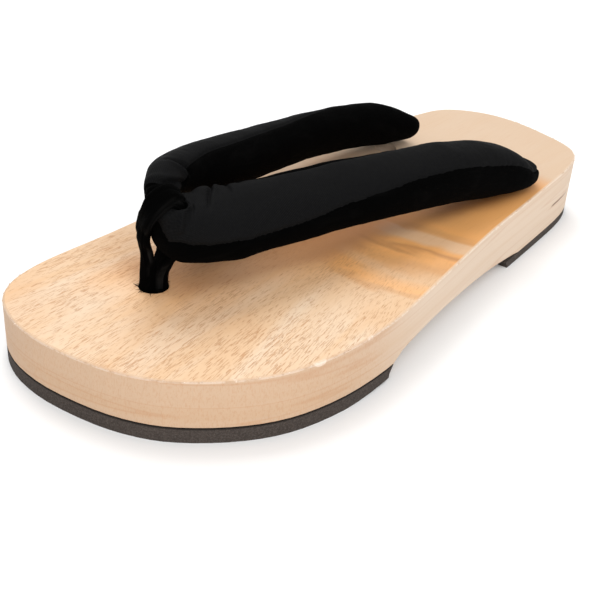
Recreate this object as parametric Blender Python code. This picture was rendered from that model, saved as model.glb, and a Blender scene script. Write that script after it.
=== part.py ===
"""A left geta sandal: a one-piece wooden base on two rubber treads.

A padded pair of straps is joined at the front, where a toe loop holds it down to the base.
The toe points along +X, the wearer's left is +Y, and the ground is z = 0.
"""
import math
from collections import namedtuple

import bmesh
import bpy
from mathutils import Vector

MM = 0.001

# Driving sizes of the base and its treads
SOLE_LENGTH = 255 * MM
SOLE_BREADTH = 104 * MM
TOP_AT_TOE = 20.4 * MM
TOP_AT_HEEL = 25.6 * MM
EDGE_ROUND = 0.7 * MM
FRONT_TREAD_THICK = 5.0 * MM
HEEL_TREAD_THICK = 3.0 * MM
SEAT_GAP = 0.3 * MM
ARCH_FRONT_X = 47 * MM
ARCH_BACK_X = -54 * MM
ARCH_RISE = 4.4 * MM
HEEL_TREAD_FRONT_X = -43 * MM
TREAD_END_SLANT = 2.0 * MM
FRONT_TREAD_LIFT = 1.0 * MM
FRONT_TREAD_LIFT_REACH = 22.0 * MM

# Driving sizes of the holes and of what stands in them
TOE_HOLE_AT = Vector((0.330 * SOLE_LENGTH, -0.142 * SOLE_BREADTH))
TOE_HOLE_RADIUS = 4.8 * MM
LEFT_HOLE_AT = Vector((-0.235 * SOLE_LENGTH, 0.279 * SOLE_BREADTH))
RIGHT_HOLE_AT = Vector((-0.235 * SOLE_LENGTH, -0.255 * SOLE_BREADTH))
SIDE_HOLE_RADIUS = 4.5 * MM
STEM_END_CLEARANCE = 0.6 * MM

# Driving sizes of the padded straps, which the strap table takes shares of
STRAP_HALF_WIDTH = 13.0 * MM
STRAP_HALF_THICK = 10.0 * MM
STRAP_LIFT = 30.0 * MM
STRAP_FULLNESS = 2.3
TOE_LOOP_WALL = 2.6 * MM
TOE_LOOP_WIDTH = 9.0 * MM
TOE_LOOP_CLEARANCE = 0.5 * MM
TOE_LOOP_SHARE = 0.482
TOE_LOOP_LEAN = 0.012
TOE_POST_HALF_WIDTH = 4.6 * MM
TOE_POST_HALF_DEPTH = 4.0 * MM

# Steps of the round and curved shapes
OUTLINE_STEPS = 108
STRAP_RING_STEPS = 20
STRAP_STATIONS = 92
TOE_LOOP_STATIONS = (32, 60)
ROUND_STEPS = 32
BAND_RING_STEPS = 12
ARCH_STEPS = 22

# The plan outline, as shares of length and breadth from the middle of the box around it.
# It runs from the toe's tip along the outer (left) side to the heel and back on the inner side.
OutlinePoint = namedtuple("OutlinePoint", "along across")
OUTLINE = (
    OutlinePoint(0.500, -0.140),
    OutlinePoint(0.492, 0.030),
    OutlinePoint(0.476, 0.155),
    OutlinePoint(0.453, 0.250),
    OutlinePoint(0.414, 0.350),
    OutlinePoint(0.370, 0.425),
    OutlinePoint(0.320, 0.471),
    OutlinePoint(0.255, 0.497),
    OutlinePoint(0.170, 0.496),
    OutlinePoint(0.040, 0.460),
    OutlinePoint(-0.095, 0.422),
    OutlinePoint(-0.230, 0.399),
    OutlinePoint(-0.355, 0.375),
    OutlinePoint(-0.412, 0.350),
    OutlinePoint(-0.437, 0.322),
    OutlinePoint(-0.454, 0.284),
    OutlinePoint(-0.471, 0.210),
    OutlinePoint(-0.493, 0.045),
    OutlinePoint(-0.500, -0.075),
    OutlinePoint(-0.496, -0.170),
    OutlinePoint(-0.483, -0.250),
    OutlinePoint(-0.467, -0.305),
    OutlinePoint(-0.449, -0.338),
    OutlinePoint(-0.420, -0.362),
    OutlinePoint(-0.330, -0.407),
    OutlinePoint(-0.225, -0.442),
    OutlinePoint(-0.100, -0.462),
    OutlinePoint(0.030, -0.487),
    OutlinePoint(0.140, -0.497),
    OutlinePoint(0.270, -0.494),
    OutlinePoint(0.370, -0.500),
    OutlinePoint(0.421, -0.484),
    OutlinePoint(0.448, -0.457),
    OutlinePoint(0.467, -0.420),
    OutlinePoint(0.482, -0.363),
    OutlinePoint(0.495, -0.272),
)

# The strap pair from the back end of the inner strap, round the front, to that of the outer one.
# along and across are shares of the base's length and breadth, lift is the centre's height over
# the footbed as a share of STRAP_LIFT, width and thick are shares of the half sizes, and face is
# the angle of the cloth side over the horizontal, looking outwards, in degrees.
StrapStation = namedtuple("StrapStation", "along across lift width thick face")
STRAPS = (
    StrapStation(-0.283, -0.222, 0.17, 0.12, 0.14, 60),
    StrapStation(-0.276, -0.230, 0.19, 0.44, 0.36, 60),
    StrapStation(-0.259, -0.238, 0.25, 0.70, 0.53, 60),
    StrapStation(-0.230, -0.262, 0.32, 0.82, 0.71, 58),
    StrapStation(-0.187, -0.285, 0.41, 0.86, 0.79, 54),
    StrapStation(-0.130, -0.303, 0.48, 0.89, 0.79, 50),
    StrapStation(-0.046, -0.311, 0.56, 0.91, 0.79, 48),
    StrapStation(0.045, -0.300, 0.64, 0.91, 0.84, 50),
    StrapStation(0.158, -0.270, 0.78, 0.87, 0.87, 57),
    StrapStation(0.215, -0.250, 0.89, 0.76, 0.78, 61),
    StrapStation(0.247, -0.231, 0.96, 0.62, 0.69, 64),
    StrapStation(0.277, -0.203, 1.03, 0.50, 0.60, 66),
    StrapStation(0.304, -0.162, 1.07, 0.39, 0.57, 68),
    StrapStation(0.328, -0.121, 1.00, 0.30, 0.61, 70),
    StrapStation(0.336, -0.076, 0.83, 0.35, 0.75, 70),
    StrapStation(0.318, -0.037, 0.70, 0.61, 0.88, 68),
    StrapStation(0.273, -0.009, 0.68, 0.94, 0.82, 66),
    StrapStation(0.242, 0.014, 0.69, 0.95, 0.82, 65),
    StrapStation(0.207, 0.041, 0.69, 0.91, 0.80, 64),
    StrapStation(0.166, 0.070, 0.68, 0.92, 0.79, 64),
    StrapStation(0.121, 0.094, 0.67, 0.92, 0.79, 65),
    StrapStation(0.061, 0.138, 0.65, 0.93, 0.84, 70),
    StrapStation(-0.005, 0.180, 0.61, 0.91, 0.93, 78),
    StrapStation(-0.078, 0.216, 0.55, 0.91, 1.00, 84),
    StrapStation(-0.164, 0.252, 0.41, 0.87, 0.99, 88),
    StrapStation(-0.216, 0.276, 0.29, 0.86, 0.80, 90),
    StrapStation(-0.242, 0.282, 0.20, 0.78, 0.52, 90),
    StrapStation(-0.268, 0.281, 0.18, 0.58, 0.40, 90),
    StrapStation(-0.283, 0.276, 0.18, 0.16, 0.14, 90),
)


def clear_scene():
    """Remove the objects that a new file starts with."""
    for old in list(bpy.data.objects):
        bpy.data.objects.remove(old, do_unlink=True)


def make_material(name, colour, roughness):
    """Return a plain Principled material."""
    material = bpy.data.materials.new(name)
    material.use_nodes = True
    shader = material.node_tree.nodes["Principled BSDF"]
    shader.inputs["Base Color"].default_value = (*colour, 1.0)
    shader.inputs["Roughness"].default_value = roughness
    shader.inputs["Metallic"].default_value = 0.0
    material.diffuse_color = (*colour, 1.0)
    return material


def spline(rows, share, closed):
    """Read a Catmull-Rom curve through the rows at a share from 0 to 1 of its way."""
    spans = len(rows) if closed else len(rows) - 1
    place = share * spans
    first = min(int(place), spans - 1)
    t = place - first

    def row(index):
        if closed:
            return rows[index % len(rows)]
        return rows[max(0, min(len(rows) - 1, index))]

    before, start, end, after = (row(first + step) for step in (-1, 0, 1, 2))
    return [
        0.5 * (2 * b + (c - a) * t + (2 * a - 5 * b + 4 * c - d) * t**2 + (3 * b - a - 3 * c + d) * t**3)
        for a, b, c, d in zip(before, start, end, after)
    ]


def footbed_height(x):
    """Return the height of the flat, sloping footbed over the ground."""
    toe_x = SOLE_LENGTH / 2
    return TOP_AT_TOE + (TOP_AT_HEEL - TOP_AT_TOE) * (toe_x - x) / SOLE_LENGTH


def outline_points():
    """Return the plan outline, evenly stepped from span to span."""
    points = []
    for step in range(OUTLINE_STEPS):
        along, across = spline(OUTLINE, step / OUTLINE_STEPS, closed=True)
        points.append(Vector((along * SOLE_LENGTH, across * SOLE_BREADTH)))
    return points


def inset_points(points, distance):
    """Move each point of a closed plan outline inwards by a distance."""
    inset = []
    for index, point in enumerate(points):
        along = points[(index + 1) % len(points)] - points[index - 1]
        inwards = Vector((-along.y, along.x)).normalized()
        inset.append(point + inwards * distance)
    return inset


def loft(name, rings, material, endless=False):
    """Join rings of equal length into one closed, smooth-shaded solid, or into an endless hoop."""
    mesh = bpy.data.meshes.new(name)
    bm = bmesh.new()
    loops = [[bm.verts.new(point) for point in ring] for ring in rings]
    count = len(loops[0])
    pairs = list(zip(loops, loops[1:]))
    if endless:
        pairs.append((loops[-1], loops[0]))
    else:
        bm.faces.new(list(reversed(loops[0])))
        bm.faces.new(loops[-1])
    for lower, upper in pairs:
        for index in range(count):
            after = (index + 1) % count
            bm.faces.new((lower[index], lower[after], upper[after], upper[index]))
    bmesh.ops.recalc_face_normals(bm, faces=bm.faces)
    bm.to_mesh(mesh)
    bm.free()
    mesh.shade_smooth()
    mesh.set_sharp_from_angle(angle=math.radians(35))
    solid = bpy.data.objects.new(name, mesh)
    bpy.context.scene.collection.objects.link(solid)
    mesh.materials.append(material)
    return solid


def as_guide(solid):
    """Mark a solid that only cuts or joins another one."""
    solid.hide_render = True
    solid.display_type = "WIRE"
    return solid


def combine(target, guide, operation):
    """Cut a guide from a solid, or join it to the solid, with an exact Boolean."""
    modifier = target.modifiers.new(guide.name, "BOOLEAN")
    modifier.operation = operation
    modifier.solver = "EXACT"
    modifier.object = guide


def round_ring(centre, z, radius_x, radius_y):
    """Return a level ellipse around a plan point."""
    ring = []
    for step in range(ROUND_STEPS):
        turn = 2 * math.pi * step / ROUND_STEPS
        ring.append(Vector((centre.x + radius_x * math.cos(turn), centre.y + radius_y * math.sin(turn), z)))
    return ring


def peg(name, centre, low, high, radius, material):
    """Return an upright round peg."""
    rings = [round_ring(centre, z, radius, radius) for z in (low, high)]
    return loft(name, rings, material)


def underside_profile():
    """Return the base's underside from the toe to the heel as (x, z) pairs."""
    front_seat = FRONT_TREAD_THICK + SEAT_GAP
    heel_seat = HEEL_TREAD_THICK + SEAT_GAP
    profile = [(SOLE_LENGTH, front_seat)]
    for step in range(ARCH_STEPS + 1):
        share = step / ARCH_STEPS
        x = ARCH_FRONT_X + (ARCH_BACK_X - ARCH_FRONT_X) * share
        base = front_seat + (heel_seat - front_seat) * share
        # The arch climbs quickly behind the front tread and falls slowly to the heel
        hump = math.sin(math.pi * share**0.62) ** 0.75
        profile.append((x, base + ARCH_RISE * hump))
    profile.append((-SOLE_LENGTH, heel_seat))
    return profile


def make_block(name, corners, material):
    """Stretch a closed outline of (x, z) corners right across the base."""
    rings = [[Vector((x, side * SOLE_BREADTH, z)) for x, z in corners] for side in (-1, 1)]
    return loft(name, rings, material)


def make_sole(wood):
    """Make the one-piece wooden base with its arch and its three strap holes."""
    outline = outline_points()
    eased = inset_points(outline, EDGE_ROUND * 0.3)
    inner = inset_points(outline, EDGE_ROUND)

    def on_top(points, drop):
        return [Vector((p.x, p.y, footbed_height(p.x) - drop)) for p in points]

    rings = [
        [Vector((p.x, p.y, 0.0)) for p in outline],
        on_top(outline, EDGE_ROUND),
        on_top(eased, EDGE_ROUND * 0.3),
        on_top(inner, 0.0),
    ]
    sole = loft("sole", rings, wood)

    floor = -SOLE_BREADTH
    corners = underside_profile() + [(-SOLE_LENGTH, floor), (SOLE_LENGTH, floor)]
    combine(sole, as_guide(make_block("underside_cutter", corners, wood)), "DIFFERENCE")

    holes = (
        ("toe_hole_cutter", TOE_HOLE_AT, TOE_HOLE_RADIUS),
        ("left_hole_cutter", LEFT_HOLE_AT, SIDE_HOLE_RADIUS),
        ("right_hole_cutter", RIGHT_HOLE_AT, SIDE_HOLE_RADIUS),
    )
    for name, centre, radius in holes:
        cutter = peg(name, centre, floor, TOP_AT_HEEL * 2, radius, wood)
        combine(sole, as_guide(cutter), "DIFFERENCE")
    return sole


def make_tread(name, thick, end_x, towards, rubber, lift=0.0):
    """Make one rubber tread, flush with the base and cut off at end_x with a slant.

    Its cut end may be worn thin from below by a lift, over FRONT_TREAD_LIFT_REACH.
    """
    outline = outline_points()
    rings = [[Vector((p.x, p.y, z)) for p in outline] for z in (0.0, thick)]
    tread = loft(name, rings, rubber)
    past = -towards * SOLE_LENGTH
    slanted_x = end_x + towards * TREAD_END_SLANT
    corners = [
        (slanted_x, 0.25 * thick + lift),
        (end_x, thick),
        (end_x, thick * 2),
        (past, thick * 2),
        (past, -thick),
    ]
    if lift:
        flat_x = end_x + towards * FRONT_TREAD_LIFT_REACH
        corners += [(flat_x, -thick), (flat_x, 0.0), (slanted_x, lift)]
    else:
        corners += [(slanted_x, -thick)]
    combine(tread, as_guide(make_block(name + "_cutter", corners, rubber)), "DIFFERENCE")
    return tread


def strap_frame(share):
    """Return centre, outward side, upward side and the table's row at a share of the straps."""
    row = StrapStation(*spline(STRAPS, share, closed=False))
    step = 0.002
    ends = [StrapStation(*spline(STRAPS, max(0.0, min(1.0, share + d)), closed=False)) for d in (-step, step)]

    def centre_of(station):
        x = station.along * SOLE_LENGTH
        return Vector((x, station.across * SOLE_BREADTH, footbed_height(x) + station.lift * STRAP_LIFT))

    forwards = (centre_of(ends[1]) - centre_of(ends[0])).normalized()
    outwards = Vector((forwards.y, -forwards.x, 0.0)).normalized()
    upwards = outwards.cross(forwards)
    return centre_of(row), outwards, upwards, row


def strap_ring(share, grow, steps=STRAP_RING_STEPS):
    """Return one full, cushion-like section of the straps, grown by a distance."""
    centre, outwards, upwards, row = strap_frame(share)
    face = math.radians(row.face)
    normal = outwards * math.cos(face) + upwards * math.sin(face)
    sideways = outwards * math.sin(face) - upwards * math.cos(face)
    half_width = row.width * STRAP_HALF_WIDTH + grow
    half_thick = row.thick * STRAP_HALF_THICK + grow
    ring = []
    for step in range(steps):
        turn = 2 * math.pi * step / steps
        across = math.copysign(abs(math.cos(turn)) ** (2 / STRAP_FULLNESS), math.cos(turn))
        above = math.copysign(abs(math.sin(turn)) ** (2 / STRAP_FULLNESS), math.sin(turn))
        ring.append(centre + sideways * across * half_width + normal * above * half_thick)
    return ring


def strap_rings(grow, first=0, last=STRAP_STATIONS - 1):
    """Return the sections of the straps from one station to another."""
    return [strap_ring(station / (STRAP_STATIONS - 1), grow) for station in range(first, last + 1)]


def make_straps(cloth):
    """Make the padded strap pair, one solid, with a stem at each end that stands in its hole."""
    straps = loft("straps", strap_rings(0.0), cloth)
    low = HEEL_TREAD_THICK + SEAT_GAP + STEM_END_CLEARANCE
    for name, centre in (("left_stem", LEFT_HOLE_AT), ("right_stem", RIGHT_HOLE_AT)):
        high = footbed_height(centre.x) + STRAP_LIFT * 0.3
        stem = peg(name, centre, low, high, SIDE_HOLE_RADIUS - SEAT_GAP, cloth)
        combine(straps, as_guide(stem), "UNION")
    return straps


def make_toe_loop(velvet):
    """Make the toe loop: a band around the front of the straps and a post down into its hole."""
    centre, outwards, upwards, _ = strap_frame(TOE_LOOP_SHARE)
    forwards = upwards.cross(outwards)
    middle_line = []
    for step in range(ROUND_STEPS):
        # The band lies further round towards the toe than in the fork between the straps
        share = TOE_LOOP_SHARE + TOE_LOOP_LEAN * math.cos(2 * math.pi * step / ROUND_STEPS)
        middle_line.append(strap_ring(share, SEAT_GAP + TOE_LOOP_WALL / 2, steps=ROUND_STEPS)[step])
    rings = []
    for point in middle_line:
        away = (point - centre).normalized()
        ring = []
        for step in range(BAND_RING_STEPS):
            turn = 2 * math.pi * step / BAND_RING_STEPS
            along = forwards * math.cos(turn) * TOE_LOOP_WIDTH / 2
            ring.append(point + along + away * math.sin(turn) * TOE_LOOP_WALL / 2)
        rings.append(ring)
    loop = loft("toe_loop", rings, velvet, endless=True)

    low = FRONT_TREAD_THICK + SEAT_GAP + STEM_END_CLEARANCE
    top = footbed_height(TOE_HOLE_AT.x)
    head = Vector((centre.x, centre.y))
    in_hole = TOE_HOLE_RADIUS - SEAT_GAP
    post_rings = [
        round_ring(TOE_HOLE_AT, low, in_hole, in_hole),
        round_ring(TOE_HOLE_AT, top + SEAT_GAP, in_hole, in_hole),
        round_ring(TOE_HOLE_AT, top + 5 * MM, TOE_POST_HALF_DEPTH, TOE_POST_HALF_WIDTH),
        round_ring(TOE_HOLE_AT.lerp(head, 0.5), top + 13 * MM, TOE_POST_HALF_DEPTH, TOE_POST_HALF_WIDTH),
        round_ring(head, centre.z, TOE_POST_HALF_DEPTH, TOE_POST_HALF_WIDTH),
    ]
    combine(loop, as_guide(loft("toe_post", post_rings, velvet)), "UNION")

    clearance = loft("strap_clearance", strap_rings(TOE_LOOP_CLEARANCE, *TOE_LOOP_STATIONS), velvet)
    combine(loop, as_guide(clearance), "DIFFERENCE")
    return loop


def main():
    """Build the sandal's pieces."""
    clear_scene()
    wood = make_material("pale_wood", (0.80, 0.58, 0.38), 0.55)
    rubber = make_material("foam_rubber", (0.055, 0.045, 0.040), 0.85)
    cloth = make_material("black_cloth", (0.012, 0.012, 0.013), 0.60)
    velvet = make_material("black_velvet", (0.006, 0.006, 0.006), 0.90)
    make_sole(wood)
    make_tread("front_tread", FRONT_TREAD_THICK, ARCH_FRONT_X, 1, rubber, FRONT_TREAD_LIFT)
    make_tread("heel_tread", HEEL_TREAD_THICK, HEEL_TREAD_FRONT_X, -1, rubber)
    make_straps(cloth)
    make_toe_loop(velvet)


main()
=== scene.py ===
"""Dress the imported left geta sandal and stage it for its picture.

The base and the treads keep their CAD shape and get their finishes here. The padded straps and
the toe loop are soft, so detailed pieces stand for them. Every place is in metres in the CAD
frame: the toe points along +X, the wearer's left is +Y and the ground is z = 0.
"""

import logging
import math
from dataclasses import dataclass, field
from enum import Enum
from typing import Sequence

import bmesh
import bpy
import numpy as np
from mathutils import Matrix, Vector
from mathutils.noise import fractal, seed_set


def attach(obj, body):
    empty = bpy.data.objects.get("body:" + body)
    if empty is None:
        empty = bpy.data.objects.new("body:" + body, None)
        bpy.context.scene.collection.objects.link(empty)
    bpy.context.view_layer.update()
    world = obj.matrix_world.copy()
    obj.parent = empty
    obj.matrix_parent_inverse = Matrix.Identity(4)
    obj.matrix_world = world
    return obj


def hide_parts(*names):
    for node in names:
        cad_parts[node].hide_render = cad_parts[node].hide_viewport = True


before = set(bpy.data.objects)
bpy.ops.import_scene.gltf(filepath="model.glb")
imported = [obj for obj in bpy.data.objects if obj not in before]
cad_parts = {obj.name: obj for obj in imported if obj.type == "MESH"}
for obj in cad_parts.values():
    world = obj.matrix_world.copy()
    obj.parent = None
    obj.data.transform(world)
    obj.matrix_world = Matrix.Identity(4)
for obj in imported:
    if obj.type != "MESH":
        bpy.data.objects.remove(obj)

LOG = logging.getLogger("geta")
MM = 0.001
BODY = "root"
Socket = bpy.types.NodeSocket
Triple = Sequence[float]


class Slot(Enum):
    """The record's material slots."""

    WOOD = "wood"
    RUBBER = "tread_rubber"
    CLOTH = "strap_cloth"
    VELVET = "loop_velvet"


class Field(Enum):
    """Kinds of procedural texture that the finishes use."""

    NOISE = "ShaderNodeTexNoise"
    CELLS = "ShaderNodeTexVoronoi"
    WAVES = "ShaderNodeTexWave"


# Node trees


@dataclass
class Tree:
    """A short way to write a node tree: each call adds one node and wires its inputs."""

    nodes: bpy.types.NodeTree

    def add(self, kind: str, inputs: dict | None = None, **settings: object) -> bpy.types.Node:
        """Add one node.

        Args:
            kind: The node's type name.
            inputs: Values or output sockets by input name or index.
            settings: The node's own settings.

        Returns:
            The new node.
        """
        node = self.nodes.nodes.new(kind)
        for name, value in settings.items():
            setattr(node, name, value)
        self.feed(node, inputs or {})
        return node

    def feed(self, node: bpy.types.Node, inputs: dict) -> None:
        """Link a node's inputs to sockets, or set them to values.

        Args:
            node: The node.
            inputs: Values or output sockets by input name or index.
        """
        for key, value in inputs.items():
            socket = node.inputs[key]
            if isinstance(value, Socket):
                self.nodes.links.new(value, socket)
            else:
                socket.default_value = value

    def math(self, operation: str, first: object, second: object = 0.0) -> Socket:
        """Return the result of one Math node.

        Args:
            operation: The Math node's operation.
            first: A number or a socket.
            second: A number or a socket.

        Returns:
            The result's socket.
        """
        return self.add("ShaderNodeMath", {0: first, 1: second}, operation=operation).outputs[0]

    def plus(self, first: object, second: object) -> Socket:
        """Return the sum of two numbers or sockets."""
        return self.math("ADD", first, second)

    def band(self, value: object, low: float, high: float) -> Socket:
        """Return a smooth step from 0 at low to 1 at high.

        Args:
            value: The socket that is read.
            low: Where the step starts.
            high: Where the step ends.

        Returns:
            The step's socket.
        """
        inputs = {0: value, 1: low, 2: high, 3: 0.0, 4: 1.0}
        if low > high:
            inputs = {0: value, 1: high, 2: low, 3: 1.0, 4: 0.0}
        node = self.add("ShaderNodeMapRange", inputs, interpolation_type="SMOOTHSTEP")
        return node.outputs[0]

    def hump(self, value: object, centre: float, reach: float) -> Socket:
        """Return 1 at the centre, falling smoothly to 0 at the reach on both sides of it.

        Args:
            value: The socket that is read.
            centre: Where the hump is highest.
            reach: How far it goes to each side.

        Returns:
            The hump's socket.
        """
        return self.band(self.math("ABSOLUTE", self.math("SUBTRACT", value, centre)), reach, 0.0)

    def times(self, *factors: object) -> Socket:
        """Return the product of numbers and sockets.

        Args:
            factors: The numbers and sockets, at least one of them a socket.

        Returns:
            The product's socket.
        """
        product = factors[0]
        for factor in factors[1:]:
            product = self.math("MULTIPLY", product, factor)
        return product

    def ramp(self, value: object, stops: Sequence[tuple[float, Sequence[float]]]) -> Socket:
        """Return a colour read from stops, smoothly from one to the next.

        Args:
            value: The socket that is read.
            stops: Places in the value's own units and their colours, in rising order.

        Returns:
            The colour's socket.
        """
        low, high = stops[0][0], stops[-1][0]
        share = self.add("ShaderNodeMapRange", {0: value, 1: low, 2: high, 3: 0.0, 4: 1.0}).outputs[0]
        node = self.add("ShaderNodeValToRGB", {0: share})
        band = node.color_ramp
        band.interpolation = "EASE"
        while len(band.elements) < len(stops):
            band.elements.new(0.5)
        for element, (place, _) in zip(band.elements, stops):
            element.position = (place - low) / (high - low)
        for element, (_, tone) in zip(band.elements, stops):
            element.color = tone
        return node.outputs[0]

    def blend(self, share: object, first: object, second: object) -> Socket:
        """Return a mix of two colours.

        Args:
            share: How much of the second colour, a number or a socket.
            first: The first colour.
            second: The second colour.

        Returns:
            The mixed colour's socket.
        """
        inputs = {"Factor": share, 6: first, 7: second}
        return self.add("ShaderNodeMix", inputs, data_type="RGBA").outputs[2]

    def scaled(self, vector: object, scale: Triple, turn: Triple = (0.0, 0.0, 0.0)) -> Socket:
        """Return coordinates that a Mapping node stretches and turns.

        Args:
            vector: The coordinates' socket.
            scale: The stretch along each axis.
            turn: The turn about each axis, in radians.

        Returns:
            The new coordinates' socket.
        """
        node = self.add("ShaderNodeMapping", {"Vector": vector, "Scale": scale, "Rotation": turn})
        return node.outputs[0]

    def noise(self, vector: object, scale: float, detail: float, rough: float, bend: float = 0.0) -> Socket:
        """Return the value of one Noise Texture.

        Args:
            vector: The coordinates' socket.
            scale: The texture's scale.
            detail: The number of finer layers.
            rough: How strong the finer layers are.
            bend: The distortion.

        Returns:
            The noise's socket.
        """
        inputs = {"Vector": vector, "Scale": scale, "Detail": detail, "Roughness": rough, "Distortion": bend}
        return self.add(Field.NOISE.value, inputs).outputs["Fac"]

    def bump(self, height: object, distance: float, strength: float, under: object = None) -> Socket:
        """Return a normal from a height.

        Args:
            height: The height's socket.
            distance: How far the height reaches, in metres.
            strength: The share of it that shows.
            under: The normal that this one is laid over.

        Returns:
            The normal's socket.
        """
        inputs = {"Height": height, "Distance": distance, "Strength": strength}
        if under is not None:
            inputs["Normal"] = under
        return self.add("ShaderNodeBump", inputs).outputs[0]

    def cells(self, vector: object, scale: float) -> Socket:
        """Return the distance to the nearest point of a Voronoi Texture."""
        inputs = {"Vector": vector, "Scale": scale}
        return self.add(Field.CELLS.value, inputs, feature="F1").outputs["Distance"]


def new_finish(name: str) -> tuple[bpy.types.Material, Tree, bpy.types.Node]:
    """Start a finish.

    Args:
        name: The material's name.

    Returns:
        The material, its tree and its Principled shader.
    """
    material = bpy.data.materials.new(name)
    material.use_nodes = True
    return material, Tree(material.node_tree), material.node_tree.nodes["Principled BSDF"]


def colour(red: float, green: float, blue: float) -> tuple[float, float, float, float]:
    """Return an opaque linear colour from 0 to 255 screen values."""
    return (*(((part / 255 + 0.055) / 1.055) ** 2.4 for part in (red, green, blue)), 1.0)


# Finishes


@dataclass(frozen=True)
class Board:
    """What the wood's layers read: coordinates, fibre coordinates, x, y and z in millimetres, masks."""

    place: object
    flow: object
    x: object
    y: object
    z: object
    top: object
    side: object
    rim: object


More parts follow.
